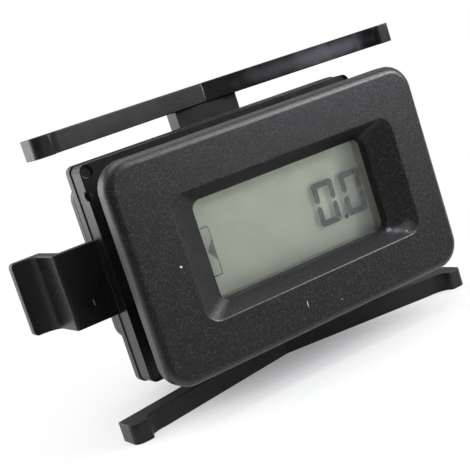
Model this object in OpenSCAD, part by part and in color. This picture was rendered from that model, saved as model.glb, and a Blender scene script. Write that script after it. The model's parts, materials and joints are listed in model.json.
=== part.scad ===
// Panel-mount LCD hour meter with a slide-on spring clamp.
// Origin: centre of the bezel's back face, where the panel seats.
// +X right and +Z up as seen from the front, +Y back through the panel.

/* [Bezel] */
// Width of the bezel
bezel_w = 48; // [46:0.5:56]
// Height of the bezel
bezel_h = 29.2; // [27:0.2:34]
// Thickness of the bezel, front face to panel seat
bezel_t = 2.7; // [2.6:0.1:4]
// Radius of the bezel's corners seen from the front
bezel_corner_r = 3.6; // [3:0.1:5]
// Rounding of the bezel's front edge
bezel_edge_r = 1.2; // [0.4:0.1:1.5]

/* [Window] */
// Width of the window opening
window_w = 27.6; // [24:0.2:28]
// Height of the window opening
window_h = 13.2; // [10:0.2:13.4]
// Radius of the window's corners
window_corner_r = 1.2; // [0.5:0.1:2]
// Shift of the window to the right of the bezel's middle
window_shift = 0.9; // [0:0.05:1]
// Width of the sloped surround at the window's left and right
funnel_margin_x = 3.75; // [2:0.05:5]
// Width of the sloped surround above and below the window
funnel_margin_z = 1.65; // [1:0.05:3]
// Depth of the sloped surround
funnel_depth = 2.1; // [0.8:0.1:2.2]
// Radius of the surround's corners at the front face
funnel_corner_r = 2.2; // [1.4:0.1:3]
// Thickness of the lip that holds the lens in
lip_t = 1.4; // [0.5:0.1:2]

/* [Case] */
// Width of the case, which passes the panel cut-out
case_w = 36.4; // [36:0.1:40]
// Height of the case
case_h = 24; // [23.4:0.1:27]
// Depth of the case behind the panel seat, rear cover included
case_depth = 26; // [22:0.5:34]
// Wall at the top and bottom of the case
case_wall = 1.4; // [1:0.1:1.8]
// Wall at the sides of the case, where the ratchet channels run
case_side_wall = 2.2; // [1.9:0.1:2.4]
// Radius of the case's long corners
case_corner_r = 2.5; // [1:0.1:3]
// Thickness of the rear cover
cover_t = 1.5; // [1:0.1:2.5]
// Depth of the rear cover's locating lip
cover_lip_d = 2; // [1:0.1:3]
// Thickness of the rear cover's locating lip
cover_lip_t = 1; // [0.8:0.1:1.4]
// Clearance of the rear cover's lip in the case
cover_gap = 0.1; // [0.05:0.05:0.2]
// Width of the rear cover's legs, which press the board home
leg_w = 2; // [1.5:0.1:2.4]

/* [Ratchet] */
// Height of the ratchet channel in each side of the case
channel_h = 6; // [5:0.1:9]
// Depth of the ratchet channel
channel_d = 1.2; // [0.9:0.1:1.3]
// Pitch of the ratchet teeth
tooth_pitch = 1; // [0.8:0.1:1.5]
// Height of the ratchet teeth
tooth_h = 0.5; // [0.3:0.05:0.6]
// First ratchet tooth, behind the panel seat
ratchet_start = 2; // [2:0.5:4]
// Plain stretch of the channel between the last tooth and the rear cover
ratchet_end_gap = 4; // [2:0.5:8]

/* [Display] */
// Overlap of the lens on the window's lip at the left and right
lens_lap_x = 0.9; // [0.6:0.1:1.1]
// Overlap of the lens on the window's lip above and below
lens_lap_z = 1.2; // [0.6:0.1:1.6]
// Thickness of the window lens
lens_t = 1; // [0.8:0.1:1.6]
// Clearance round the lens in its pocket
lens_gap = 0.1; // [0.05:0.05:0.2]
// Thickness of each display glass
glass_t = 0.7; // [0.5:0.05:1.1]
// Ledge of the front glass that carries the contacts, top and bottom
contact_ledge = 2.1; // [1.9:0.05:2.3]
// Thickness of the front polariser
polariser_t = 0.2; // [0.1:0.05:0.3]
// Border of bare glass round the front polariser
polariser_border = 0.3; // [0.2:0.05:0.6]
// Thickness of the rear polariser with its reflector
reflector_t = 0.25; // [0.15:0.05:0.4]
// Clearance round the glass in its holder
glass_gap = 0.1; // [0.05:0.05:0.2]
// Clearance of the display holder in the case
holder_gap = 0.15; // [0.1:0.05:0.3]
// Wall of the display holder at the left and right of the glass
holder_side_wall = 0.35; // [0.3:0.05:1]
// Wall of the display holder above and below the glass
holder_top_wall = 1.55; // [1:0.05:2]
// Thickness of the display holder behind the reflector
holder_web = 3; // [2:0.1:4]
// Depth of the hollow in the back of the display holder
holder_hollow_d = 1.8; // [1:0.1:1.8]
// Rim round the hollow, inside the outline of the rear glass
holder_rim = 1.5; // [1.2:0.1:3]
// Distance of the rubber contact strips' ends from the sides of the glass
zebra_inset = 1.4; // [1:0.1:3]
// Height of the rubber contact strips
zebra_h = 1.5; // [1.1:0.1:1.6]
// Clearance round the contact strips in the holder
zebra_gap = 0.1; // [0.05:0.05:0.15]

/* [Electronics] */
// Thickness of the circuit board
board_t = 1.2; // [0.8:0.1:1.6]
// Clearance of the circuit board in the case
board_gap = 0.3; // [0.2:0.05:0.5]
// Body width of the square controller chip
chip_w = 8; // [6:0.5:9]
// Body height of the controller chip
chip_h = 1.4; // [1:0.1:2]
// Reach of a chip's leads beyond its body
lead_reach = 0.9; // [0.5:0.1:1]
// Body length of the memory chip
memory_l = 4.9; // [4:0.1:6]
// Body width of the memory chip
memory_w = 2.6; // [2:0.1:2.8]
// Length of the quartz crystal's can
crystal_l = 8; // [6:0.5:10]
// Diameter of the quartz crystal's can
crystal_d = 3; // [2:0.1:3.2]
// Diameter of the filter capacitor
capacitor_d = 6.3; // [4:0.1:6.5]
// Height of the filter capacitor
capacitor_h = 7; // [5:0.5:10]
// Width of each blade terminal
blade_w = 6.3; // [4.8:0.1:6.4]
// Thickness of each blade terminal
blade_t = 0.8; // [0.5:0.1:0.8]
// Length of each blade behind the rear cover
blade_len = 8; // [6:0.5:10]
// Distance between the two blade terminals
blade_spacing = 15; // [14:0.5:16]
// Diameter of the detent hole in each blade
blade_hole_d = 1.7; // [1.4:0.1:2]
// Distance of the detent hole from the blade's tip
blade_hole_inset = 3.3; // [2.5:0.1:4]
// Reach of each terminal's shoulders beyond its blade, inside the rear cover
shoulder_reach = 0.8; // [0.4:0.1:1.2]
// Width of the terminals' tails inside the case
tail_w = 2; // [1.5:0.1:3]
// How far the tails stand out at the front of the board
tail_proud = 0.8; // [0.4:0.1:0.9]
// Clearance of the terminals in the slots of the rear cover and the board
blade_gap = 0.05; // [0.05:0.05:0.1]

/* [Clamp frame] */
// Front of the clamp frame behind the panel seat, at rest
clamp_y = 8.6; // [7:0.1:12]
// Clearance of the clamp frame on the case
clamp_gap = 0.35; // [0.3:0.05:0.6]
// Wall of the clamp frame at its left and right
clamp_side_wall = 3.5; // [2.5:0.1:5]
// Wall of the clamp frame at its top and bottom
clamp_top_wall = 2.65; // [2:0.05:4]
// Thickness of the clamp frame, front to back
clamp_t = 4.6; // [4.2:0.1:6]
// Front part of the frame's thickness, ahead of the parting step
clamp_front_t = 3.2; // [2.4:0.1:3.6]
// How far the rear of the frame stands out beyond its front part
parting_step = 0.15; // [0.05:0.05:0.3]
// Radius of the frame's outer corners
clamp_corner_r = 1; // [0.5:0.1:2]
// Clearance of the pawls over the ratchet teeth, tabs squeezed
pawl_clear = 0.3; // [0.2:0.05:0.35]
// Length of each pawl along the slide
pawl_len = 1.8; // [1.2:0.1:2.6]
// Diameter of the ejector marks on the frame's front
ejector_d = 1.6; // [1:0.1:1.8]
// Distance of the ejector marks' centres from the frame's edges
ejector_inset = 1; // [1:0.1:1.5]
// Depth of the ejector marks
ejector_depth = 0.35; // [0.1:0.05:0.4]
// Distance of the gate nick below the top of the frame's opening
gate_inset = 1.4; // [1:0.1:4]
// Radius of the gate nick
gate_r = 0.6; // [0.2:0.1:0.8]
// Depth of the gate nick into the frame's side
gate_d = 0.6; // [0.3:0.1:1]

/* [Spring bars] */
// Overall length of each spring bar
bar_len = 56.7; // [50:0.1:64]
// Height of each spring bar
bar_h = 2.65; // [2:0.05:4]
// Thickness of each spring bar, front to back
bar_t = 3.25; // [3:0.05:5]
// Distance between each bar and the frame
bar_clear = 2.5; // [1.5:0.05:4]
// How far each bar's middle lies behind the frame's front
bar_setback = 2.7; // [1.8:0.1:2.9]
// How far the ends of each bar reach forward of its middle
bar_sweep = 6.5; // [4:0.1:8]
// Length of the foot at each end of a bar
foot_len = 2.7; // [2:0.1:4]
// How far each foot stands forward of its bar
foot_proud = 1; // [0.5:0.1:2]
// Length of the hollow blend between a foot and its bar
foot_blend = 2.6; // [1:0.1:4]
// Rounding of each foot's outer edge
foot_outer_r = 1.1; // [0.2:0.1:1.2]
// Rounding of each foot's inner edge
foot_inner_r = 0.5; // [0.2:0.1:0.6]
// Width of the post that carries each bar
post_w = 9.9; // [6:0.1:14]
// How far the post's front lies behind the frame's front
post_setback = 3; // [2.7:0.1:3.4]

/* [Finger tabs] */
// Height of each finger tab
tab_h = 10.3; // [8:0.1:14]
// Reach of the tab's inner plate from the frame's side
tab_reach = 6.25; // [5:0.05:8]
// Front of the inner plate behind the frame's front
tab_setback = 2.45; // [1.4:0.05:2.5]
// Step back from the inner plate to the outer lip
tab_step = 8.1; // [5:0.1:9]
// Reach of the outer lip beyond the step
tab_lip = 3.2; // [2.6:0.1:5]
// Thickness of the finger tabs
tab_t = 1.5; // [1.2:0.1:2]
// Hollow rounding between the step and the outer lip
tab_fillet = 2.4; // [0.5:0.1:2.5]
// Rounding of the edge between the inner plate and the step
tab_edge_r = 0.5; // [0.2:0.1:1]
// Rounding of the outer lip's corners
tab_corner_r = 0.6; // [0.2:0.1:1.5]

/* [Hidden] */
$fn = 48;
// Overrun of a cutting shape past the face that it opens
cut = 0.5;
// Overlap that joins one cut to the next
cut_overlap = 0.02;

// Planes of the display stack along Y, front to back
window_y = funnel_depth - bezel_t;
lens_y = window_y + lip_t;
polariser_y = lens_y + lens_t;
front_glass_y = polariser_y + polariser_t;
rear_glass_y = front_glass_y + glass_t;
reflector_y = rear_glass_y + glass_t;
holder_floor_y = reflector_y + reflector_t;
board_y = holder_floor_y + holder_web;
board_back_y = board_y + board_t;
cover_y = case_depth - cover_t;

// Hollow of the case and what fits in it
cavity_w = case_w - 2 * case_side_wall;
cavity_h = case_h - 2 * case_wall;
lens_w = window_w + 2 * lens_lap_x;
lens_h = window_h + 2 * lens_lap_z;
holder_w = cavity_w - 2 * holder_gap;
holder_h = cavity_h - 2 * holder_gap;
glass_w = holder_w - 2 * (holder_side_wall + glass_gap);
glass_h = holder_h - 2 * (holder_top_wall + glass_gap);
rear_glass_h = glass_h - 2 * contact_ledge;
zebra_len = glass_w - 2 * zebra_inset;
zebra_z = rear_glass_h / 2 + contact_ledge / 2;
board_w = cavity_w - 2 * board_gap;
board_h = cavity_h - 2 * board_gap;
leg_inset = cover_lip_t + cover_gap;
leg_x = cavity_w / 2 - leg_inset - leg_w / 2;
leg_z = cavity_h / 2 - leg_inset - leg_w / 2;

// Layout of the parts on the back of the board
memory_h = 1.4;
part_space = 0.4;
chip_pins = 8;
chip_pin_pitch = 0.8;
memory_pins = 4;
memory_pin_pitch = 1.27;
pin_w = 0.35;
pin_t = 0.2;
memory_z = chip_w / 2 + lead_reach + memory_w / 2 + lead_reach + part_space;
crystal_z = -(chip_w / 2 + lead_reach + crystal_d / 2 + part_space);
side_part_x = (blade_spacing / 2 + board_w / 2) / 2 + blade_t / 4;
capacitor_z = capacitor_d / 2 + part_space;
capacitor_base_h = 1;
capacitor_groove = 0.4;
small_part_size = [2, 0.6, 1.25];
small_part_pitch = 1.75;
resistor_count = 4;
ceramic_count = 3;
diode_size = [4.2, 2.1, 2.6];
diode_count = 2;
suppressor_size = [4.6, 2.3, 3.6];

// Clamp outline and the planes that its parts stand on
opening_w = case_w + 2 * clamp_gap;
opening_h = case_h + 2 * clamp_gap;
clamp_w = opening_w + 2 * clamp_side_wall;
clamp_h = opening_h + 2 * clamp_top_wall;
clamp_back_y = clamp_y + clamp_t;
bar_y = clamp_y + bar_setback;
bar_z = clamp_h / 2 + bar_clear;
post_y = clamp_y + post_setback;
post_back_y = bar_y + bar_t;
ratchet_crest_x = case_w / 2 - channel_d + tooth_h;
pawl_x = ratchet_crest_x + pawl_clear;
gate_z = opening_h / 2 - gate_inset;

CASE_BLACK = "#26272a";
CLAMP_BLACK = "#1b1c1f";
LENS_CLEAR = [0.85, 0.9, 0.88, 0.35];
GLASS_CLEAR = [0.8, 0.86, 0.82, 0.4];
POLARISER_GREY = [0.62, 0.66, 0.6, 0.6];
REFLECTOR_GREEN = "#a6a998";

// Rectangle with round corners, centred
module rounded_rect(w, h, r) {
    square([w - 2 * r, h], center = true);
    square([w, h - 2 * r], center = true);
    for (sx = [-1, 1], sz = [-1, 1])
        translate([sx * (w / 2 - r), sz * (h / 2 - r)])
            circle(r);
}

// Extrusion of an outline in the XZ plane, from y0 back to y1
module along_y(y0, y1) {
    translate([0, y1, 0])
        rotate([90, 0, 0])
            linear_extrude(y1 - y0)
                children();
}

// Extrusion of a plan in the XY plane, centred on z
module plan(z, h) {
    translate([0, 0, z - h / 2])
        linear_extrude(h)
            children();
}

// Outline closed by the mirror image of its right half
function mirrored(half) =
    concat(half, [for (i = [len(half) - 1 : -1 : 0])
                   if (half[i][0] > 0) [-half[i][0], half[i][1]]]);

// Child and its mirror image at the other side
module both_sides() {
    children();
    mirror([1, 0, 0])
        children();
}

// Child and its mirror image at the bottom
module top_and_bottom() {
    children();
    mirror([0, 0, 1])
        children();
}

// Plate seen from the front, with its back at Y = 0 and its front edge rounded
module edge_rounded_plate(w, h, t, corner_r, edge_r) {
    edge_y = edge_r - t;
    along_y(edge_y, 0)
        rounded_rect(w, h, corner_r);
    along_y(-t, 0)
        rounded_rect(w - 2 * edge_r, h - 2 * edge_r, corner_r - edge_r);
    for (sz = [-1, 1])
        translate([0, edge_y, sz * (h / 2 - edge_r)])
            rotate([0, 90, 0])
                cylinder(r = edge_r, h = w - 2 * corner_r, center = true);
    for (sx = [-1, 1])
        translate([sx * (w / 2 - edge_r), edge_y, 0])
            cylinder(r = edge_r, h = h - 2 * corner_r, center = true);
    for (sx = [-1, 1], sz = [-1, 1])
        translate([sx * (w / 2 - corner_r), edge_y, sz * (h / 2 - corner_r)])
            rotate([90, 0, 0])
                rotate_extrude()
                    translate([corner_r - edge_r, 0])
                        circle(edge_r);
}

// Child at the window's place, right of the bezel's middle
module at_window() {
    translate([window_shift, 0, 0])
        children();
}

// Sloped surround of the window, run on past the front face
module window_funnel() {
    skin = 0.01;
    run_on = 1 + cut / funnel_depth;
    hull() {
        along_y(-bezel_t - cut, -bezel_t - cut + skin)
            rounded_rect(window_w + 2 * funnel_margin_x * run_on,
                         window_h + 2 * funnel_margin_z * run_on,
                         funnel_corner_r, $fn = 32);
        along_y(window_y - skin, window_y)
            rounded_rect(window_w, window_h, window_corner_r, $fn = 32);
    }
}

// Channel in each side of the case and the rear cover, open at the back
module ratchet_channels() {
    both_sides()
        translate([case_w / 2 - channel_d, ratchet_start - tooth_pitch, -channel_h / 2])
            cube([channel_d + cut, case_depth, channel_h]);
}

// Saw teeth on the floor of each channel, steep at the front
module ratchet_teeth() {
    root_x = case_w / 2 - channel_d;
    sunk = 0.2;
    count = floor((cover_y - ratchet_end_gap - ratchet_start) / tooth_pitch);
    saw = [for (i = [0 : count - 1])
            each [[root_x + tooth_h, ratchet_start + i * tooth_pitch],
                  [root_x, ratchet_start + (i + 1) * tooth_pitch]]];
    both_sides()
        plan(0, channel_h)
            polygon(concat([[root_x - sunk, ratchet_start], [root_x, ratchet_start]], saw,
                           [[root_x - sunk, ratchet_start + count * tooth_pitch]]));
}

// Bezel and case, moulded as one piece
module front_case() {
    color(CASE_BLACK) {
        difference() {
            union() {
                edge_rounded_plate(bezel_w, bezel_h, bezel_t, bezel_corner_r, bezel_edge_r);
                along_y(-cut, cover_y)
                    rounded_rect(case_w, case_h, case_corner_r);
            }
            at_window() {
                window_funnel();
                along_y(window_y - cut_overlap, lens_y + cut)
                    rounded_rect(window_w, window_h, window_corner_r);
                along_y(lens_y, polariser_y + cut)
                    square([lens_w + 2 * lens_gap, lens_h + 2 * lens_gap], center = true);
            }
            along_y(polariser_y, cover_y + cut)
                square([cavity_w, cavity_h], center = true);
            ratchet_channels();
        }
        ratchet_teeth();
    }
}

// Clear lens held behind the window's lip
module window_lens() {
    color(LENS_CLEAR)
        at_window()
            along_y(lens_y, polariser_y)
                square([lens_w, lens_h], center = true);
}

// Polarising film on the front glass
module lcd_front_polariser() {
    color(POLARISER_GREY)
        along_y(polariser_y, front_glass_y)
            square([glass_w - 2 * polariser_border, glass_h - 2 * polariser_border], center = true);
}

// Front glass, with a contact ledge at its top and bottom
module lcd_front_glass() {
    color(GLASS_CLEAR)
        along_y(front_glass_y, rear_glass_y)
            square([glass_w, glass_h], center = true);
}

// Rear glass, shorter by the two contact ledges
module lcd_rear_glass() {
    color(GLASS_CLEAR)
        along_y(rear_glass_y, reflector_y)
            square([glass_w, rear_glass_h], center = true);
}

// Rear polariser with its reflector
module lcd_reflector() {
    color(REFLECTOR_GREEN)
        along_y(reflector_y, holder_floor_y)
            square([glass_w, rear_glass_h], center = true);
}

// Moulded carrier that sets the glass and the contact strips on the board
module lcd_holder() {
    pocket_w = glass_w + 2 * glass_gap;
    color("#d9d9d2")
        difference() {
            along_y(polariser_y, board_y)
                square([holder_w, holder_h], center = true);
            along_y(polariser_y - cut, rear_glass_y)
                square([pocket_w, glass_h + 2 * glass_gap], center = true);
            along_y(rear_glass_y - cut_overlap, holder_floor_y)
                square([pocket_w, rear_glass_h + 2 * glass_gap], center = true);
            top_and_bottom()
                translate([0, 0, zebra_z])
                    along_y(rear_glass_y - cut, board_y + cut)
                        square([zebra_len + 2 * zebra_gap, zebra_h + 2 * zebra_gap], center = true);
            along_y(board_y - holder_hollow_d, board_y + cut)
                square([glass_w - 2 * holder_rim, rear_glass_h - 2 * holder_rim], center = true);
        }
}

// Rubber contact strip between a glass ledge and the board
module zebra_strip() {
    along_y(rear_glass_y, board_y)
        square([zebra_len, zebra_h], center = true);
}

module zebra_strip_upper() {
    color("#c9a6a0")
        translate([0, 0, zebra_z])
            zebra_strip();
}

module zebra_strip_lower() {
    color("#c9a6a0")
        translate([0, 0, -zebra_z])
            zebra_strip();
}

// Slots that pass both terminals, each of the given height
module terminal_slots(y0, y1, h) {
    for (sx = [-1, 1])
        translate([sx * blade_spacing / 2, 0, 0])
            along_y(y0, y1)
                square([blade_t + 2 * blade_gap, h + 2 * blade_gap], center = true);
}

// Circuit board behind the display holder, slotted for the terminals' tails
module circuit_board() {
    color("#2f6b3a")
        difference() {
            along_y(board_y, board_back_y)
                square([board_w, board_h], center = true);
            terminal_slots(board_y - cut, board_back_y + cut, tail_w);
        }
}

// Box standing on the back of the board, size along X, Y and Z
module board_box(x, z, size) {
    translate([x - size[0] / 2, board_back_y, z - size[2] / 2])
        cube(size);
}

// One row of chip leads along X, at the edge of a body of the given depth
module lead_row(count, pitch, edge_z) {
    for (i = [0 : count - 1])
        translate([(i - (count - 1) / 2) * pitch - pin_w / 2, board_back_y, edge_z - pin_t])
            cube([pin_w, pin_t, lead_reach + pin_t]);
}

// Square controller chip with leads on four sides
module controller_chip() {
    color("#222426") {
        board_box(0, 0, [chip_w, chip_h, chip_w]);
        for (turn = [0 : 90 : 270])
            rotate([0, turn, 0])
                lead_row(chip_pins, chip_pin_pitch, chip_w / 2);
    }
}

// Memory chip that keeps the count, leads on two sides
module memory_chip() {
    color("#222426")
        translate([0, 0, memory_z]) {
            board_box(0, 0, [memory_l, memory_h, memory_w]);
            top_and_bottom()
                lead_row(memory_pins, memory_pin_pitch, memory_w / 2);
        }
}

// Quartz crystal in a round can, lying on the board
module quartz_crystal() {
    color("#b9bcc0")
        translate([0, board_back_y + crystal_d / 2, crystal_z])
            rotate([0, 90, 0])
                cylinder(d = crystal_d, h = crystal_l, center = true);
}

// Filter capacitor standing on the board, with a groove round its can
module filter_capacitor() {
    groove_y = capacitor_base_h + capacitor_groove;
    color("#8f959c")
        translate([side_part_x, board_back_y, capacitor_z])
            rotate([-90, 0, 0])
                difference() {
                    cylinder(d = capacitor_d, h = capacitor_h);
                    translate([0, 0, groove_y])
                        rotate_extrude()
                            translate([capacitor_d / 2, 0])
                                circle(capacitor_groove, $fn = 24);
                }
}

// Column of small surface parts, running down from a first place
module small_parts(x, first_z, count) {
    for (i = [0 : count - 1])
        board_box(x, first_z - i * small_part_pitch, small_part_size);
}

module ceramic_capacitors() {
    color("#b58a5a")
        small_parts(side_part_x + small_part_size[0] / 2 + part_space / 2, -small_part_pitch,
                    ceramic_count);
}

module resistors() {
    color("#303338")
        small_parts(side_part_x - small_part_size[0] / 2 - part_space / 2, -small_part_pitch,
                    resistor_count);
}

// Rectifier diodes, so that either supply polarity works
module rectifier_diodes() {
    color("#26282b")
        for (i = [0 : diode_count - 1])
            board_box(-side_part_x, -(i + 0.5) * (diode_size[2] + part_space), diode_size);
}

// Surge suppressor across the supply
module surge_suppressor() {
    color("#26282b")
        board_box(-side_part_x, suppressor_size[2] / 2 + part_space, suppressor_size);
}

// Flat blade terminal, standing on edge: tail through the board, shoulders and holed blade
module blade_terminal() {
    tip = 1;
    end_y = case_depth + blade_len;
    tail_y = board_y - tail_proud;
    shoulder_y = cover_y - cover_lip_d;
    shoulder_x = blade_w / 2 + shoulder_reach;
    half = [[tail_w / 2, tail_y], [tail_w / 2, shoulder_y], [shoulder_x, shoulder_y],
            [shoulder_x, cover_y], [blade_w / 2, cover_y], [blade_w / 2, end_y - tip],
            [blade_w / 2 - tip, end_y]];
    color("#c9b06a")
        difference() {
            rotate([0, 90, 0])
                linear_extrude(blade_t, center = true)
                    polygon(mirrored(half));
            translate([0, end_y - blade_hole_inset, 0])
                rotate([0, 90, 0])
                    cylinder(d = blade_hole_d, h = blade_t + 2 * cut, center = true);
        }
}

module terminal_left() {
    translate([-blade_spacing / 2, 0, 0])
        blade_terminal();
}

module terminal_right() {
    translate([blade_spacing / 2, 0, 0])
        blade_terminal();
}

// Rear cover with its locating lip, its legs and the slots for the blades
module rear_cover() {
    lip_w = cavity_w - 2 * cover_gap;
    lip_h = cavity_h - 2 * cover_gap;
    color(CASE_BLACK) {
        difference() {
            union() {
                along_y(cover_y, case_depth)
                    rounded_rect(case_w, case_h, case_corner_r);
                along_y(cover_y - cover_lip_d, cover_y + cut)
                    square([lip_w, lip_h], center = true);
            }
            along_y(cover_y - cover_lip_d - cut, cover_y)
                square([lip_w - 2 * cover_lip_t, lip_h - 2 * cover_lip_t], center = true);
            ratchet_channels();
            terminal_slots(cover_y - cut, case_depth + cut, blade_w);
        }
        for (sx = [-1, 1], sz = [-1, 1])
            translate([sx * leg_x, 0, sz * leg_z])
                along_y(board_back_y, cover_y + cut)
                    square(leg_w, center = true);
    }
}

// Front face of a spring bar at a distance x from its middle
function bar_front(x) = bar_y - bar_sweep * x / (bar_len / 2);

// Spring bar with its two feet joined by hollow blends, and the post that carries it
module spring_bar() {
    end_x = bar_len / 2;
    blend_x = end_x - foot_len - foot_blend;
    foot_y = bar_front(end_x) - foot_proud;
    inner_x = end_x - foot_len + foot_inner_r;
    inner_y = foot_y + foot_inner_r;
    blend_d = bar_front(blend_x) - inner_y;
    blend = [for (a = [90 : -10 : 0])
              [blend_x + foot_blend * cos(a), inner_y + blend_d * sin(a)]];
    inner = [for (a = [195 : 15 : 270])
              [inner_x + foot_inner_r * cos(a), inner_y + foot_inner_r * sin(a)]];
    outer = [for (a = [-90 : 10 : 0])
              [end_x - foot_outer_r * (1 - cos(a)), foot_y + foot_outer_r * (1 + sin(a))]];
    half = concat([[0, bar_y]], blend, inner, outer,
                  [[end_x, bar_front(end_x) + bar_t], [0, bar_y + bar_t]]);
    plan(bar_z + bar_h / 2, bar_h)
        polygon(mirrored(half));
    translate([-post_w / 2, post_y, opening_h / 2])
        cube([post_w, post_back_y - post_y, bar_z + bar_h / 2 - opening_h / 2]);
}

// Stepped finger tab in plan, at the right of the frame
module finger_tab_plan() {
    root_x = opening_w / 2 + clamp_side_wall / 2;
    step_x = clamp_w / 2 + tab_reach;
    tip_x = step_x + tab_lip;
    plate_y = clamp_y + tab_setback;
    lip_y = plate_y + tab_step;
    edge = [for (a = [-90 : 15 : 0])
             [step_x - tab_edge_r * (1 - cos(a)), plate_y + tab_edge_r * (1 + sin(a))]];
    fillet = [for (a = [180 : -10 : 90])
               [step_x + tab_fillet * (1 + cos(a)), lip_y - tab_fillet * (1 - sin(a))]];
    polygon(concat([[root_x, plate_y]], edge, fillet,
                   [[tip_x, lip_y], [tip_x, lip_y + tab_t], [step_x - tab_t, lip_y + tab_t],
                    [step_x - tab_t, plate_y + tab_t], [root_x, plate_y + tab_t]]));
}

// Stepped finger tab with round corners at its outer lip
module finger_tab() {
    outline_w = clamp_w + 2 * (tab_reach + tab_lip);
    intersection() {
        plan(0, tab_h)
            finger_tab_plan();
        along_y(clamp_y, clamp_y + tab_setback + tab_step + tab_t + cut)
            rounded_rect(outline_w, tab_h, tab_corner_r);
    }
}

// Pawl on the inside of the frame, reaching into the ratchet channel
module pawl_plan() {
    wall_x = opening_w / 2;
    pawl_y = clamp_y + (clamp_front_t - pawl_len) / 2;
    polygon([[wall_x + clamp_gap, pawl_y], [wall_x, pawl_y],
             [pawl_x, pawl_y + pawl_len], [wall_x + clamp_gap, pawl_y + pawl_len]]);
}

// Rectangular frame that slides on the case
module clamp_frame() {
    front_end_y = clamp_y + clamp_front_t;
    difference() {
        union() {
            along_y(clamp_y, front_end_y)
                rounded_rect(clamp_w, clamp_h, clamp_corner_r);
            along_y(front_end_y, clamp_back_y)
                rounded_rect(clamp_w + 2 * parting_step, clamp_h + 2 * parting_step, clamp_corner_r);
        }
        along_y(clamp_y - cut, clamp_back_y + cut)
            rounded_rect(opening_w, opening_h, case_corner_r + clamp_gap);
        for (sx = [-1, 1], sz = [-1, 1])
            translate([sx * (clamp_w / 2 - ejector_inset), 0, sz * (clamp_h / 2 - ejector_inset)])
                along_y(clamp_y - cut, clamp_y + ejector_depth)
                    circle(d = ejector_d, $fn = 32);
        translate([-clamp_w / 2, clamp_y + gate_r / 2, gate_z])
            rotate([0, 90, 0])
                cylinder(r = gate_r, h = 2 * gate_d, center = true, $fn = 24);
    }
}

// One-piece clamp: frame, spring bars, finger tabs and pawls
module mounting_clamp() {
    color(CLAMP_BLACK) {
        clamp_frame();
        top_and_bottom()
            spring_bar();
        both_sides() {
            finger_tab();
            plan(0, channel_h - 2 * clamp_gap)
                pawl_plan();
        }
    }
}

front_case();
window_lens();
lcd_front_polariser();
lcd_front_glass();
lcd_rear_glass();
lcd_reflector();
lcd_holder();
zebra_strip_upper();
zebra_strip_lower();
circuit_board();
controller_chip();
memory_chip();
quartz_crystal();
filter_capacitor();
ceramic_capacitors();
resistors();
rectifier_diodes();
surge_suppressor();
terminal_left();
terminal_right();
rear_cover();
mounting_clamp();
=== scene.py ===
import json
import math

import bmesh
import bpy
from mathutils import Matrix, Vector
from mathutils.geometry import intersect_point_line


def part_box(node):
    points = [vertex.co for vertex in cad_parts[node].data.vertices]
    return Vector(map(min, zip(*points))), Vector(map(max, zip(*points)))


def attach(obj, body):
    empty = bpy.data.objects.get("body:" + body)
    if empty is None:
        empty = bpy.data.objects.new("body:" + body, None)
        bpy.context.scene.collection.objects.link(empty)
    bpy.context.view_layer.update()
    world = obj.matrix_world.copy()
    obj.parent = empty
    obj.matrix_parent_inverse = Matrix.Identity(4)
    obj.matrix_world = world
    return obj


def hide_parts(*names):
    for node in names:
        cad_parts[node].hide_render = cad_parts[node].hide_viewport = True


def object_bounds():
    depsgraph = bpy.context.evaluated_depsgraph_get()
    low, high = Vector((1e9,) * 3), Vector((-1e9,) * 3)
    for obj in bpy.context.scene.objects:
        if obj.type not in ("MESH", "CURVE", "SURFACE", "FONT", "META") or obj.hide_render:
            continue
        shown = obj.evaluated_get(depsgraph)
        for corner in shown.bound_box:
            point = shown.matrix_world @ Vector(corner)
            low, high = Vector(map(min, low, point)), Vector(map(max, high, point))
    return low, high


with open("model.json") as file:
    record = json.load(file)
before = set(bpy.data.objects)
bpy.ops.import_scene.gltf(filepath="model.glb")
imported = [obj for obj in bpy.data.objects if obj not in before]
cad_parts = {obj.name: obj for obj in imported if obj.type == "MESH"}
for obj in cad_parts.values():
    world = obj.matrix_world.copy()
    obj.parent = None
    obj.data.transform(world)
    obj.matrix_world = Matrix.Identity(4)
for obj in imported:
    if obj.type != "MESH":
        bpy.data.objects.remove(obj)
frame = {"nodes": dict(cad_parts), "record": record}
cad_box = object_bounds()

MM = 0.001
scene = bpy.context.scene

# Camera, fitted to the object's edges in the photograph
IMAGE_PX = 470
FOCAL_PX = 1071.3
SENSOR_MM = 36.0
EYE_MM = (-70.607, -120.059, 20.713)
YAW_DEG, PITCH_DEG, ROLL_DEG = 27.508, 8.455, 18.023
CLIP_NEAR, CLIP_FAR = 0.005, 20.0

# Display, in mm, as seen from the front
DIGIT_LEFT = 6.44
DIGIT_FOOT = -3.6
DIGIT_W = 3.55
DIGIT_H = 6.15
DIGIT_PITCH = 4.72
DIGIT_SLANT = 0.03
DIGIT_STROKE = 0.85
DIGIT_CORNER = 0.35
SEGMENT_GAP = 0.02
MIDDLE_GAP = 0.1
POINT_X = 10.8
POINT_FOOT = -3.75
POINT_SIZE = 0.7
POINT_SIDES = 12
ICON_RIGHT = -10.13
ICON_W = 4.2
ICON_FOOT = -3.9
ICON_TOP = 2.6
ICON_LINE = 0.16
ICON_BULB_TOP = 0.95
ICON_BULB_FOOT = -2.1
ICON_WAIST = 1.0
INK_T = 0.03
INK_SETBACK = 0.06

# Edge rounding of the moulded pieces, in mm
CASE_EDGE = 0.15
CLAMP_EDGE = 0.12
COVER_EDGE = 0.2
BLADE_EDGE = 0.08
EDGE_STEPS = 3
EDGE_SHARE = 0.4
FACE_WEIGHT = 100

# Angles of sharp edges and flat faces, tolerances in metres, and cosines of directions that agree
SHARP = math.radians(25.0)
FLAT = math.radians(0.2)
WELD = 1e-6
ON_PLANE = 1e-7
SAME_WAY = 0.9999
MOSTLY = 0.7

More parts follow.
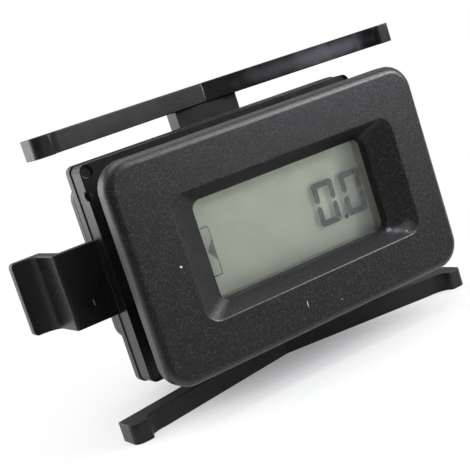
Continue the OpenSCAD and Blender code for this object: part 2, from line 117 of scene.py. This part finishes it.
# Surface of the plastics: sizes in mm, and tones and roughness as shares
NOISE_LOW, NOISE_HIGH = 0.3, 0.7
GRAIN_MM = 0.2
GRAIN_CELL_MM = 0.14
GRAIN_PATCH_MM = 7.0
GRAIN_DEPTH_MM = 0.013
GRAIN_DOME = 0.8
PAINTED_GLINT_FROM = 0.75
FLOW_MM = 6.0
FLOW_FINE_MM = 0.5
FLOW_DEPTH_MM = 0.006
FLOW_SWELL = 4.0
DUST_ROUGHNESS = 0.7
DUST_TONE = 0.012
DUST_FROM, DUST_FULL = 0.9, 0.99

# Surface of the clear, layered and metal pieces
VEIL = (0.76, 0.73, 0.8, 1.0)
CLEAR_IOR = 1.45
TRANSPARENT_LAYERS = 24
RUBBER_PITCH_MM = 0.18
STREAK_MM = 0.12
STREAK_STRETCH = 0.04
STREAK_DEPTH_MM = 0.004

# Floor, in metres: it keeps its shade near the object and is white farther off; in reflections it is painted
# dark in front of the object
FLOOR_HALF = 3.0
SHADE_SQUASH = (1.0, 0.55, 1.0)
SHADE_NEAR, SHADE_FAR = 0.018, 0.048
SHADE_WHITE = 0.2
BEHIND_FROM, BEHIND_FULL = -0.02, 0.05
BEFORE_FULL, BEFORE_END = -0.016, -0.004
PAPER_DARK, PAPER_LIGHT = 0.76, 0.81
PAPER_ROUGHNESS = 0.9
PAPER_FIBRE_MM = 0.6
PAPER_DEPTH_MM = 0.02
FOREGROUND_SHADE_IN_GLOSS = 0.2

# World: the parts of a direction over which it brightens, and its levels
WORLD_BACK = (-0.2, 0.4)
WORLD_ABOVE = (0.1, 0.8)
WORLD_RIGHT = (0.2, 0.9)
WORLD_RIGHT_SHARE = 0.4
WORLD_DIM, WORLD_BRIGHT = 0.08, 0.75


def grey(level):
    return (level, level, level, 1.0)


def add_node(tree, kind, inputs=None, **settings):
    """A new node with its settings, whose inputs are linked if a socket is given and set if not."""
    node = tree.nodes.new(kind)
    for key, value in settings.items():
        setattr(node, key, value)
    for key, value in (inputs or {}).items():
        if isinstance(value, bpy.types.NodeSocket):
            tree.links.new(value, node.inputs[key])
        else:
            node.inputs[key].default_value = value
    return node


def math_node(tree, operation, first, second=0.0):
    return add_node(tree, "ShaderNodeMath", {0: first, 1: second}, operation=operation).outputs[0]


def vector_node(tree, operation, first, second=(0.0, 0.0, 0.0)):
    """Arithmetic on vectors; a length comes back as a number, all else as a vector."""
    node = add_node(tree, "ShaderNodeVectorMath", {0: first, 1: second}, operation=operation)
    return node.outputs["Value" if operation == "LENGTH" else "Vector"]


def component(tree, vector, axis):
    return add_node(tree, "ShaderNodeSeparateXYZ", {"Vector": vector}).outputs[axis]


def map_range(tree, value, from_min, from_max, to_min, to_max, smooth=False):
    """value carried from one range to another, held at the ends."""
    inputs = {
        "Value": value,
        "From Min": from_min,
        "From Max": from_max,
        "To Min": to_min,
        "To Max": to_max,
    }
    kind = "SMOOTHSTEP" if smooth else "LINEAR"
    return add_node(tree, "ShaderNodeMapRange", inputs, interpolation_type=kind).outputs["Result"]


def from_noise(tree, value, low, high):
    """Noise carried to the range from low to high."""
    return map_range(tree, value, NOISE_LOW, NOISE_HIGH, low, high)


def mix_colour(tree, factor, first, second):
    return add_node(tree, "ShaderNodeMix", {0: factor, 6: first, 7: second}, data_type="RGBA").outputs[2]


def mix_value(tree, factor, first, second):
    return add_node(tree, "ShaderNodeMix", {0: factor, 2: first, 3: second}, data_type="FLOAT").outputs[0]


def new_material(name):
    """A material with an empty tree but its output; returns the material and the tree."""
    material = bpy.data.materials.new(name)
    material.use_nodes = True
    tree = material.node_tree
    tree.nodes.clear()
    tree.nodes.new("ShaderNodeOutputMaterial")
    return material, tree


def finish_material(tree, shader):
    tree.links.new(shader, tree.nodes["Material Output"].inputs["Surface"])


def place(tree):
    """A point's place on the object, in metres, which goes with the piece."""
    return add_node(tree, "ShaderNodeTexCoord").outputs["Object"]


def facing(tree, axis):
    """How far a face looks along an axis of the object, from -1 to 1."""
    return component(tree, add_node(tree, "ShaderNodeTexCoord").outputs["Normal"], axis)


def noise(tree, where, size_mm, detail=2.0, roughness=0.5):
    """Noise whose blotches are about size_mm across."""
    inputs = {"Vector": where, "Scale": 1.0 / (size_mm * MM), "Detail": detail, "Roughness": roughness}
    return add_node(tree, "ShaderNodeTexNoise", inputs).outputs["Fac"]


def cells(tree, where, size_mm):
    """Voronoi cells about size_mm across: distance to the middle, and one random level for each cell."""
    node = add_node(tree, "ShaderNodeTexVoronoi", {"Vector": where, "Scale": 1.0 / (size_mm * MM)})
    level = add_node(tree, "ShaderNodeSeparateColor", {"Color": node.outputs["Color"]}).outputs[0]
    return node.outputs["Distance"], level


def bump(tree, height, depth_mm):
    inputs = {"Height": height, "Distance": depth_mm * MM, "Strength": 1.0}
    return add_node(tree, "ShaderNodeBump", inputs).outputs["Normal"]


def scuffs_and_painted_light(tree, where, colour, marks, grain_mm=0.3, soft=0.5, fray=0.5):
    """colour with paler marks on it: scuffs, and painted sheen and painted highlights.

    Each mark has its middle and its half sizes along X, Y and Z in mm, and its colour. soft is the share of
    a mark over which it fades out, and fray is how far its edge strays.
    """
    ragged = noise(tree, where, grain_mm, detail=3.0)
    for middle, reach, tint in marks:
        offset = vector_node(tree, "SUBTRACT", where, Vector(middle) * MM)
        away = vector_node(tree, "LENGTH", vector_node(tree, "DIVIDE", offset, Vector(reach) * MM))
        edge = math_node(tree, "ADD", away, from_noise(tree, ragged, -fray, fray))
        cover = map_range(tree, edge, 1.0 - soft, 1.0, 1.0, 0.0)
        colour = mix_colour(tree, cover, colour, (*tint, 1.0))
    return colour


def dusted(tree, colour, rough, film):
    """colour and roughness with a thin film of dust on the faces that lie level and look up."""
    level = map_range(tree, facing(tree, "Z"), DUST_FROM, DUST_FULL, 0.0, 1.0, smooth=True)
    dull = from_noise(tree, film, DUST_ROUGHNESS - 0.05, DUST_ROUGHNESS + 0.05)
    cover = math_node(tree, "MULTIPLY", level, from_noise(tree, film, 0.0, 1.0))
    return mix_colour(tree, cover, colour, grey(DUST_TONE)), mix_value(tree, level, rough, dull)


def grained_plastic(name, dark, light, roughness, specular, painted_glint_tone, marks=(), painted_sheen=()):
    """Moulded plastic with a fine spark-eroded grain, painted glints and pale patches of painted sheen."""
    material, tree = new_material(name)
    where = place(tree)
    fine = noise(tree, where, GRAIN_MM, roughness=0.6)
    broad = noise(tree, where, GRAIN_PATCH_MM)
    dome, level = cells(tree, where, GRAIN_CELL_MM)
    tone = map_range(tree, math_node(tree, "ADD", fine, broad), 0.6, 1.4, 0.0, 1.0)
    colour = mix_colour(tree, tone, grey(dark), grey(light))
    # painted glints: a few grain cells are painted pale in the colour
    painted_glint = map_range(tree, level, PAINTED_GLINT_FROM, 1.0, 0.0, 1.0)
    colour = mix_colour(tree, painted_glint, colour, grey(painted_glint_tone))
    # pale bluish patches painted on as sheen
    colour = scuffs_and_painted_light(tree, where, colour, painted_sheen, grain_mm=0.5, soft=0.9, fray=0.3)
    colour = scuffs_and_painted_light(tree, where, colour, marks)
    height = math_node(tree, "ADD", fine, math_node(tree, "MULTIPLY", dome, GRAIN_DOME))
    rough = from_noise(tree, fine, roughness - 0.06, roughness + 0.06)
    colour, rough = dusted(tree, colour, rough, broad)
    shader = add_node(tree, "ShaderNodeBsdfPrincipled", {
        "Base Color": colour,
        "Roughness": rough,
        "Specular IOR Level": specular,
        "Normal": bump(tree, height, GRAIN_DEPTH_MM),
    })
    finish_material(tree, shader.outputs[0])
    return material


def smooth_plastic(name, dark, light, roughness, specular, marks=(), painted_sheen=()):
    """Moulded plastic from a polished tool, with slight flow marks and pale patches of painted sheen."""
    material, tree = new_material(name)
    where = place(tree)
    broad = noise(tree, where, FLOW_MM, detail=3.0)
    fine = noise(tree, where, FLOW_FINE_MM, detail=3.0)
    colour = mix_colour(tree, from_noise(tree, broad, 0.0, 1.0), grey(dark), grey(light))
    # pale patches painted on as sheen
    colour = scuffs_and_painted_light(tree, where, colour, painted_sheen, grain_mm=2.0, soft=1.0, fray=0.2)
    # scuffs, and on the clamp one painted highlight
    colour = scuffs_and_painted_light(tree, where, colour, marks)
    height = math_node(tree, "ADD", fine, math_node(tree, "MULTIPLY", broad, FLOW_SWELL))
    both = math_node(tree, "ADD", broad, fine)
    rough = map_range(tree, both, 0.7, 1.3, roughness - 0.05, roughness + 0.05)
    colour, rough = dusted(tree, colour, rough, broad)
    shader = add_node(tree, "ShaderNodeBsdfPrincipled", {
        "Base Color": colour,
        "Roughness": rough,
        "Specular IOR Level": specular,
        "Normal": bump(tree, height, FLOW_DEPTH_MM),
    })
    finish_material(tree, shader.outputs[0])
    return material


def clear_sheet(name, tint, gloss, gloss_roughness, haze=0.0):
    """A clear layer that light goes straight through, but for the haze of fine scratches.

    Only its front and rear faces have gloss; its edges have none.
    """
    material, tree = new_material(name)
    where = place(tree)
    streak = noise(tree, where, 4.0)
    darker = (*(0.985 * c for c in tint), 1.0)
    tinted = mix_colour(tree, from_noise(tree, streak, 0.0, 1.0), (*tint, 1.0), darker)
    through = add_node(tree, "ShaderNodeBsdfTransparent", {"Color": tinted})
    scratched = from_noise(tree, noise(tree, where, 0.5, detail=3.0), 0.9 * haze, 1.1 * haze)
    veil = add_node(tree, "ShaderNodeBsdfDiffuse", {"Color": VEIL})
    hazy = add_node(tree, "ShaderNodeMixShader", {0: scratched, 1: through.outputs[0], 2: veil.outputs[0]})
    rough = from_noise(tree, streak, 0.8 * gloss_roughness, 1.2 * gloss_roughness)
    shine = add_node(tree, "ShaderNodeBsdfGlossy", {"Color": grey(1.0), "Roughness": rough})
    polished = math_node(tree, "GREATER_THAN", math_node(tree, "ABSOLUTE", facing(tree, "Y")), 0.5)
    edge = add_node(tree, "ShaderNodeFresnel", {"IOR": CLEAR_IOR})
    share = math_node(tree, "MULTIPLY", math_node(tree, "MULTIPLY", edge.outputs[0], gloss), polished)
    mixed = add_node(tree, "ShaderNodeMixShader", {0: share, 1: hazy.outputs[0], 2: shine.outputs[0]})
    finish_material(tree, mixed.outputs[0])
    return material


def mottled(name, first, second, size_mm, roughness, relief_mm=0.01):
    """A surface that varies between two colours in blotches of one size."""
    material, tree = new_material(name)
    where = place(tree)
    blotch = noise(tree, where, size_mm, detail=3.0)
    colour = mix_colour(tree, from_noise(tree, blotch, 0.0, 1.0), (*first, 1.0), (*second, 1.0))
    shader = add_node(tree, "ShaderNodeBsdfPrincipled", {
        "Base Color": colour,
        "Roughness": from_noise(tree, blotch, roughness - 0.06, roughness + 0.06),
        "Normal": bump(tree, noise(tree, where, 0.4 * size_mm), relief_mm),
    })
    finish_material(tree, shader.outputs[0])
    return material


def layered_rubber(name):
    """Contact strip: thin dark and pale layers across its length."""
    material, tree = new_material(name)
    where = place(tree)
    turn = math_node(tree, "MULTIPLY", component(tree, where, "X"), 2.0 * math.pi / (RUBBER_PITCH_MM * MM))
    band = map_range(tree, math_node(tree, "SINE", turn), -0.3, 0.3, 0.0, 1.0)
    colour = mix_colour(tree, band, (0.05, 0.04, 0.04, 1.0), (0.6, 0.42, 0.4, 1.0))
    rough = from_noise(tree, noise(tree, where, 0.4), 0.55, 0.7)
    shader = add_node(tree, "ShaderNodeBsdfPrincipled", {"Base Color": colour, "Roughness": rough})
    finish_material(tree, shader.outputs[0])
    return material


def rolled_metal(name, first, second, roughness):
    """Rolled strip: fine streaks along its length, which is Y."""
    material, tree = new_material(name)
    where = place(tree)
    stretched = add_node(tree, "ShaderNodeMapping", {"Vector": where, "Scale": (1.0, STREAK_STRETCH, 1.0)})
    streak = noise(tree, stretched.outputs[0], STREAK_MM, detail=3.0)
    stain = noise(tree, where, 2.5, detail=3.0)
    colour = mix_colour(tree, from_noise(tree, stain, 0.0, 1.0), (*first, 1.0), (*second, 1.0))
    both = math_node(tree, "ADD", streak, stain)
    shader = add_node(tree, "ShaderNodeBsdfPrincipled", {
        "Base Color": colour,
        "Metallic": 1.0,
        "Roughness": map_range(tree, both, 0.7, 1.3, roughness - 0.08, roughness + 0.08),
        "Normal": bump(tree, streak, STREAK_DEPTH_MM),
    })
    finish_material(tree, shader.outputs[0])
    return material


def display_ink(name, tint):
    """An energised part of the display: a dark filter over the reflector."""
    material, tree = new_material(name)
    blotch = noise(tree, place(tree), 0.8)
    darker = (*(0.94 * c for c in tint), 1.0)
    colour = mix_colour(tree, from_noise(tree, blotch, 0.0, 1.0), (*tint, 1.0), darker)
    filtered = add_node(tree, "ShaderNodeBsdfTransparent", {"Color": colour})
    finish_material(tree, filtered.outputs[0])
    return material


# Scuffs from handling, one painted highlight on the clamp, and wide pale patches of painted sheen: middle,
# half sizes and colour
case_marks = [
    ((-17.88, -2.7, -0.06), (0.17, 0.3, 0.17), (0.45, 0.45, 0.45)),
    ((-2.47, -2.7, -10.99), (0.08, 0.3, 0.5), (0.3, 0.3, 0.3)),
    ((2.69, -2.7, -12.32), (0.12, 0.3, 0.1), (0.3, 0.3, 0.3)),
    ((16.35, -1.95, -7.66), (0.17, 0.25, 0.17), (0.4, 0.4, 0.42)),
    ((14.41, -0.9, -6.8), (0.5, 0.4, 0.3), (0.12, 0.125, 0.14)),
]
# Painted sheen low on the right of the window's funnel
case_painted_sheen = [
    ((15.5, -1.4, -7.2), (2.0, 0.9, 0.5), (0.05, 0.051, 0.066)),
    ((16.9, -1.8, -6.9), (1.2, 1.0, 0.9), (0.035, 0.036, 0.047)),
]
clamp_scuff_and_painted_highlight = [
    ((-25.02, 11.05, -2.5), (0.07, 0.3, 0.6), (0.2, 0.2, 0.2)),
    # a narrow pale streak down the crease of the top bar: a painted highlight
    ((0.0, 11.4, 18.9), (0.14, 0.6, 1.3), (0.1, 0.1, 0.13)),
]
# Painted sheen on the right half of the top bar
clamp_painted_sheen = [
    ((13.0, 7.5, 18.8), (15.0, 4.0, 1.5), (0.065, 0.065, 0.073)),
    ((18.5, 6.6, 18.8), (9.0, 3.0, 1.5), (0.085, 0.085, 0.1)),
]
case_finish = grained_plastic("case_grain", dark=0.001, light=0.003, roughness=0.36, specular=0.46,
                              painted_glint_tone=0.024, marks=case_marks, painted_sheen=case_painted_sheen)
clamp_finish = smooth_plastic("clamp_satin", dark=0.006, light=0.01, roughness=0.3, specular=0.24,
                              marks=clamp_scuff_and_painted_highlight, painted_sheen=clamp_painted_sheen)
finishes = {
    "case_plastic": case_finish,
    "clamp_plastic": clamp_finish,
    "lens_clear": clear_sheet("lens_clear", (0.985, 0.99, 0.985), gloss=1.0, gloss_roughness=0.04,
                              haze=0.042),
    "display_glass": clear_sheet("display_glass", (0.99, 0.995, 0.99), gloss=0.1, gloss_roughness=0.05),
    "polariser_film": clear_sheet("polariser_film", (0.96, 0.975, 0.94), gloss=0.1, gloss_roughness=0.2),
    "reflector_film": mottled("reflector_film", (0.67, 0.67, 0.595), (0.69, 0.69, 0.615),
                              size_mm=2.5, roughness=0.85, relief_mm=0.001),
    "holder_plastic": mottled("holder_plastic", (0.62, 0.62, 0.58), (0.7, 0.7, 0.66),
                              size_mm=3.0, roughness=0.55),
    "contact_rubber": layered_rubber("contact_rubber"),
    "board_laminate": mottled("board_laminate", (0.02, 0.11, 0.04), (0.035, 0.16, 0.06),
                              size_mm=1.2, roughness=0.35),
    "chip_epoxy": mottled("chip_epoxy", (0.016, 0.016, 0.018), (0.028, 0.028, 0.03),
                          size_mm=0.3, roughness=0.55),
    "crystal_can": rolled_metal("crystal_can", (0.62, 0.63, 0.65), (0.55, 0.56, 0.58), roughness=0.3),
    "capacitor_can": rolled_metal("capacitor_can", (0.6, 0.61, 0.63), (0.5, 0.51, 0.53), roughness=0.35),
    "ceramic_body": mottled("ceramic_body", (0.42, 0.27, 0.14), (0.5, 0.33, 0.19),
                            size_mm=0.3, roughness=0.6),
    "terminal_brass": rolled_metal("terminal_brass", (0.72, 0.58, 0.32), (0.62, 0.49, 0.27), roughness=0.28),
}
ink = display_ink("display_ink", (0.46, 0.48, 0.52))
ink_line = display_ink("display_ink_line", (0.6, 0.61, 0.66))


def each_once(items):
    """The items in their order, each once, so that every run goes through them alike."""
    return list(dict.fromkeys(items))


def joined_regions(bm, limit):
    """Faces that run on into each other at less than an angle, as lists of faces."""
    regions, seen = [], set()
    for start in bm.faces:
        if start in seen:
            continue
        seen.add(start)
        region, stack = [], [start]
        while stack:
            face = stack.pop()
            region.append(face)
            for edge in face.edges:
                if edge.calc_face_angle(0.0) < limit:
                    for other in edge.link_faces:
                        if other not in seen:
                            seen.add(other)
                            stack.append(other)
        regions.append(region)
    return regions


def loops_round(region):
    """The outlines of a region, outer one and holes, each as a list of vertices."""
    inside = set(region)
    links = {}
    for edge in each_once(e for face in region for e in face.edges):
        if any(face not in inside for face in edge.link_faces):
            for vert in edge.verts:
                links.setdefault(vert, []).extend(edge.verts)
    loops = []
    while links:
        loop, stack = [], [next(iter(links))]
        while stack:
            vert = stack.pop()
            if vert in links:
                loop.append(vert)
                stack.extend(links.pop(vert))
        loops.append(loop)
    return loops


def cut_at_holes(bm):
    """Cuts each flat face along X or Z through the middle of every hole in it; the cuts become seams."""
    cuts = []
    for region in joined_regions(bm, FLAT):
        loops = loops_round(region)
        if len(loops) < 2:
            continue
        normal, point = region[0].normal.copy(), region[0].verts[0].co.copy()
        across = Vector((0.0, 0.0, 1.0)) if abs(normal.z) < MOSTLY else Vector((1.0, 0.0, 0.0))
        for loop in loops:
            middle = sum((v.co for v in loop), Vector()) / len(loop)
            cuts.append((normal, point, middle, across))
    for normal, point, middle, across in cuts:
        alike = [f for f in bm.faces if f.normal.dot(normal) > SAME_WAY]
        faces = [f for f in alike if abs(normal.dot(f.verts[0].co - point)) < ON_PLANE]
        edges = each_once(e for f in faces for e in f.edges)
        verts = each_once(v for f in faces for v in f.verts)
        touched = [*faces, *edges, *verts]
        done = bmesh.ops.bisect_plane(bm, geom=touched, dist=ON_PLANE, plane_co=middle, plane_no=across)
        for part in done["geom_cut"]:
            if isinstance(part, bmesh.types.BMEdge):
                part.seam = True


def room_beside(edge, face, rim, reach):
    """Distance from an edge across a face to the next sharp edge ahead, up to reach."""
    loop = next(l for l in face.loops if l.edge == edge)
    inward = face.normal.cross(loop.link_loop_next.vert.co - loop.vert.co).normalized()
    a, b = (v.co for v in edge.verts)
    middle = (a + b) / 2.0
    room = reach
    for start, end in rim:
        apart = (middle - (start + end) / 2.0).length
        if apart > room + (edge.calc_length() + (end - start).length) / 2.0:
            continue
        for point in (a, middle, b):
            along = intersect_point_line(point, start, end)[1]
            gap = start.lerp(end, min(1.0, max(0.0, along))) - point
            if gap.length > WELD and gap.dot(inward) > MOSTLY * gap.length:
                room = min(room, gap.length)
    return room


def moulded_copy(node, name, radius_mm, material):
    """A copy of a CAD node that stands for it, with its sharp edges rounded, less where a face is narrow."""
    mesh = frame["nodes"][node].data.copy()
    piece = bpy.data.objects.new(name, mesh)
    scene.collection.objects.link(piece)
    bm = bmesh.new()
    bm.from_mesh(mesh)
    bmesh.ops.remove_doubles(bm, verts=bm.verts, dist=WELD)
    cut_at_holes(bm)
    bmesh.ops.dissolve_limit(bm, angle_limit=FLAT, verts=bm.verts, edges=bm.edges, delimit={"SEAM"})
    weights = bm.edges.layers.float.new("bevel_weight_edge")
    reach = radius_mm * MM / EDGE_SHARE
    regions = joined_regions(bm, SHARP)
    region_of = {face: number for number, region in enumerate(regions) for face in region}
    room, between = {}, {}
    for region in regions:
        sharp = [(e, f) for f in region for e in f.edges if e.calc_face_angle(0.0) >= SHARP]
        rim = [tuple(v.co.copy() for v in e.verts) for e, _ in sharp]
        for edge, face in sharp:
            between[edge] = frozenset(region_of[f] for f in edge.link_faces)
            free = room_beside(edge, face, rim, reach)
            room[between[edge]] = min(room.get(between[edge], reach), free)
    for edge, pair in between.items():
        edge[weights] = room[pair] / reach
    for face in bm.faces:
        face.smooth = True
        face.material_index = 0
    bm.to_mesh(mesh)
    bm.free()
    mesh.materials.clear()
    mesh.materials.append(material)
    rounding = piece.modifiers.new("rounded_edges", "BEVEL")
    rounding.limit_method = "WEIGHT"
    rounding.width = radius_mm * MM
    rounding.segments = EDGE_STEPS
    rounding.use_clamp_overlap = False
    levelled = piece.modifiers.new("flat_faces", "WEIGHTED_NORMAL")
    levelled.mode = "FACE_AREA"
    levelled.weight = FACE_WEIGHT
    levelled.keep_sharp = False
    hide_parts(node)
    return piece


clamp = moulded_copy("mounting_clamp", "clamp_moulding", CLAMP_EDGE, clamp_finish)
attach(clamp, "clamp")
case = moulded_copy("front_case", "case_moulding", CASE_EDGE, case_finish)
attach(case, "meter")
cover = moulded_copy("rear_cover", "cover_moulding", COVER_EDGE, case_finish)
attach(cover, "meter")
for side in ("left", "right"):
    blade = moulded_copy(f"terminal_{side}", f"blade_{side}", BLADE_EDGE,
                         finishes["terminal_brass"])
    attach(blade, "meter")

# Finish of the CAD nodes that show as they are
slot_of = {part["node"]: part["material_slot"] for part in frame["record"]["subparts"]}
for node, thing in frame["nodes"].items():
    thing.data.materials.clear()
    thing.data.materials.append(finishes[slot_of[node]])


def flat_prisms(name, outlines, front, depth, material):
    """Thin upright plates, one for each outline of (x, z) points in mm; front and depth are in metres."""
    bm = bmesh.new()
    for outline in outlines:
        near = [bm.verts.new((x * MM, front, z * MM)) for x, z in outline]
        far = [bm.verts.new((x * MM, front + depth, z * MM)) for x, z in outline]
        bm.faces.new(near)
        bm.faces.new(far)
        for k in range(len(outline)):
            bm.faces.new((near[k - 1], near[k], far[k], far[k - 1]))
    bmesh.ops.recalc_face_normals(bm, faces=bm.faces)
    mesh = bpy.data.meshes.new(name)
    bm.to_mesh(mesh)
    bm.free()
    piece = bpy.data.objects.new(name, mesh)
    scene.collection.objects.link(piece)
    mesh.materials.append(material)
    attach(piece, "meter")


def zero_segments(left):
    """The six lit segments of a 0 as outlines, mitred where two meet; left is its lower left corner."""
    w, h, s, g, c = DIGIT_W, DIGIT_H, DIGIT_STROKE, SEGMENT_GAP, DIGIT_CORNER
    half, cut = s / 2.0, c / 2.0
    tip = h / 2.0 - MIDDLE_GAP
    level = [(c, 0.0), (w - c, 0.0), (w - cut - g, cut), (w - s - g, s), (s + g, s), (cut + g, cut)]
    upright = [(cut, cut + g), (s, s + g), (s, tip - half), (half, tip), (0.0, tip - half), (0.0, c)]
    turned = [(w - x, z) for x, z in upright]
    lower = [level, upright, turned]
    upper = [[(x, h - z) for x, z in outline] for outline in lower]
    return [[(left + x + DIGIT_SLANT * z, DIGIT_FOOT + z) for x, z in outline] for outline in lower + upper]


# Two digits 0 with a decimal point between them
ink_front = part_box("lcd_front_glass")[1].y - INK_SETBACK * MM
segments = [s for digit in range(2) for s in zero_segments(DIGIT_LEFT + DIGIT_PITCH * digit)]
point_r = POINT_SIZE / 2.0
point = [(POINT_X + point_r * math.cos(a), POINT_FOOT + point_r * (1.0 + math.sin(a)))
         for a in (2.0 * math.pi * k / POINT_SIDES for k in range(POINT_SIDES))]
flat_prisms("lcd_digits", segments + [point], ink_front, INK_T * MM, ink)


def line(start, end, width):
    """The outline of a straight line of the given width."""
    a, b = Vector(start), Vector(end)
    off = (b - a).normalized().orthogonal() * width / 2.0
    return [tuple(a + off), tuple(b + off), tuple(b - off), tuple(a - off)]


# Running-time symbol: a frame whose sides are filled in towards the waist of a sand glass
icon_left = ICON_RIGHT - ICON_W
icon_waist_z = (ICON_BULB_TOP + ICON_BULB_FOOT) / 2.0
frame_lines = [
    line((icon_left, ICON_TOP), (ICON_RIGHT, ICON_TOP), ICON_LINE),
    line((icon_left, ICON_FOOT), (ICON_RIGHT, ICON_FOOT), ICON_LINE),
    line((icon_left, ICON_FOOT), (icon_left, ICON_TOP), ICON_LINE),
    line((ICON_RIGHT, ICON_FOOT), (ICON_RIGHT, ICON_TOP), ICON_LINE),
]
flat_prisms("lcd_symbol_frame", frame_lines, ink_front, INK_T * MM, ink_line)
waist_sides = [
    [(edge, ICON_BULB_TOP), (edge + inward * ICON_WAIST, icon_waist_z), (edge, ICON_BULB_FOOT)]
    for edge, inward in ((ICON_RIGHT, -1.0), (icon_left, 1.0))
]
flat_prisms("lcd_symbol_waist", waist_sides, ink_front + 2.0 * INK_T * MM, INK_T * MM, ink_line)


def build_camera():
    data = bpy.data.cameras.new("camera")
    data.sensor_fit = "HORIZONTAL"
    data.sensor_width = SENSOR_MM
    data.lens = SENSOR_MM * FOCAL_PX / IMAGE_PX
    data.clip_start = CLIP_NEAR
    data.clip_end = CLIP_FAR
    camera = bpy.data.objects.new("camera", data)
    turn = (Matrix.Rotation(-math.radians(YAW_DEG), 4, "Z")
            @ Matrix.Rotation(math.radians(90.0 - PITCH_DEG), 4, "X")
            @ Matrix.Rotation(-math.radians(ROLL_DEG), 4, "Z"))
    camera.matrix_world = Matrix.Translation(Vector(EYE_MM) * MM) @ turn
    scene.collection.objects.link(camera)
    scene.camera = camera


def build_floor():
    """Pale floor that fades to white away from the object and keeps its shadow; in reflections it is painted
    darker in front of the object, as painted shade.
    """
    mesh = bpy.data.meshes.new("floor")
    signs = ((-1, -1), (1, -1), (1, 1), (-1, 1))
    corners = [(sx * FLOOR_HALF, sy * FLOOR_HALF, cad_box[0].z) for sx, sy in signs]
    mesh.from_pydata(corners, [], [(0, 1, 2, 3)])
    floor = bpy.data.objects.new("floor", mesh)
    scene.collection.objects.link(floor)
    material, tree = new_material("floor_paper")
    where = place(tree)
    rays = add_node(tree, "ShaderNodeLightPath").outputs
    away = vector_node(tree, "LENGTH", vector_node(tree, "MULTIPLY", where, SHADE_SQUASH))
    faded = map_range(tree, away, SHADE_NEAR, SHADE_FAR, SHADE_WHITE, 1.0, smooth=True)
    depth = component(tree, where, "Y")
    behind = map_range(tree, depth, BEHIND_FROM, BEHIND_FULL, 0.0, 1.0, smooth=True)
    before = map_range(tree, depth, BEFORE_FULL, BEFORE_END, 1.0, 0.0, smooth=True)
    seen = math_node(tree, "MULTIPLY", rays["Is Camera Ray"], faded)
    indirect = math_node(tree, "MAXIMUM", rays["Is Glossy Ray"], rays["Is Transmission Ray"])
    mirrored = math_node(tree, "MULTIPLY", indirect, behind)
    share = math_node(tree, "MAXIMUM", seen, mirrored)
    fibre = noise(tree, where, PAPER_FIBRE_MM, detail=3.0)
    colour = mix_colour(tree, from_noise(tree, fibre, 0.0, 1.0), grey(PAPER_DARK), grey(PAPER_LIGHT))
    # painted shade: seen in reflections, the floor in front of the object is darker
    painted_shade = math_node(tree, "MULTIPLY", rays["Is Glossy Ray"], before)
    colour = mix_colour(tree, painted_shade, colour, grey(FOREGROUND_SHADE_IN_GLOSS))
    paper = add_node(tree, "ShaderNodeBsdfPrincipled", {
        "Base Color": colour,
        "Roughness": PAPER_ROUGHNESS,
        "Normal": bump(tree, fibre, PAPER_DEPTH_MM),
    })
    white = add_node(tree, "ShaderNodeEmission", {"Color": grey(1.0), "Strength": 1.0})
    mixed = add_node(tree, "ShaderNodeMixShader", {0: share, 1: paper.outputs[0], 2: white.outputs[0]})
    finish_material(tree, mixed.outputs[0])
    mesh.materials.append(material)


def build_world():
    """White backdrop all round for the camera; for light and reflections it is dimmer towards the front."""
    world = bpy.data.worlds.new("studio")
    scene.world = world
    world.use_nodes = True
    tree = world.node_tree
    tree.nodes.clear()
    rays = add_node(tree, "ShaderNodeLightPath").outputs
    toward = add_node(tree, "ShaderNodeTexCoord").outputs["Generated"]
    back = map_range(tree, component(tree, toward, "Y"), *WORLD_BACK, 0.0, 1.0, smooth=True)
    above = map_range(tree, component(tree, toward, "Z"), *WORLD_ABOVE, 0.0, 1.0, smooth=True)
    right = map_range(tree, component(tree, toward, "X"), *WORLD_RIGHT, 0.0, WORLD_RIGHT_SHARE, smooth=True)
    open_sky = math_node(tree, "MAXIMUM", math_node(tree, "MAXIMUM", back, above), right)
    level = map_range(tree, open_sky, 0.0, 1.0, WORLD_DIM, WORLD_BRIGHT)
    clear = math_node(tree, "MAXIMUM", rays["Is Camera Ray"], rays["Is Transmission Ray"])
    mirrored = math_node(tree, "MULTIPLY", rays["Is Glossy Ray"], back)
    white = math_node(tree, "MAXIMUM", clear, mirrored)
    strength = mix_value(tree, white, level, 1.0)
    shine = add_node(tree, "ShaderNodeBackground", {"Color": grey(1.0), "Strength": strength})
    output = tree.nodes.new("ShaderNodeOutputWorld")
    tree.links.new(shine.outputs[0], output.inputs["Surface"])


def softbox(name, at, toward, size, watts, colour=(1.0, 1.0, 1.0)):
    """A rectangular area lamp at a point in metres, turned to another point, which no camera sees."""
    data = bpy.data.lights.new(name, "AREA")
    data.shape = "RECTANGLE"
    data.size, data.size_y = size
    data.energy = watts
    data.color = colour
    lamp = bpy.data.objects.new(name, data)
    lamp.location = at
    lamp.rotation_euler = (Vector(toward) - Vector(at)).to_track_quat("-Z", "Y").to_euler()
    lamp.visible_camera = False
    scene.collection.objects.link(lamp)


build_camera()
build_floor()
build_world()
softbox("key", at=(0.256, -0.285, 0.321), toward=(0.0, 0.0, 0.0), size=(0.18, 0.18), watts=0.85)
softbox("front_right", at=(0.308, -0.304, 0.149), toward=(0.0, 0.0, 0.0), size=(0.26, 0.13), watts=2.1,
        colour=(0.94, 0.96, 1.0))
softbox("back_left", at=(-0.20, 0.22, 0.08), toward=(-0.02, 0.01, -0.01), size=(0.30, 0.24), watts=0.45)
softbox("overhead", at=(0.0, 0.05, 0.55), toward=(0.0, 0.0, 0.0), size=(0.5, 0.5), watts=1.7)

scene.cycles.transparent_max_bounces = TRANSPARENT_LAYERS
scene.view_settings.view_transform = "Standard"
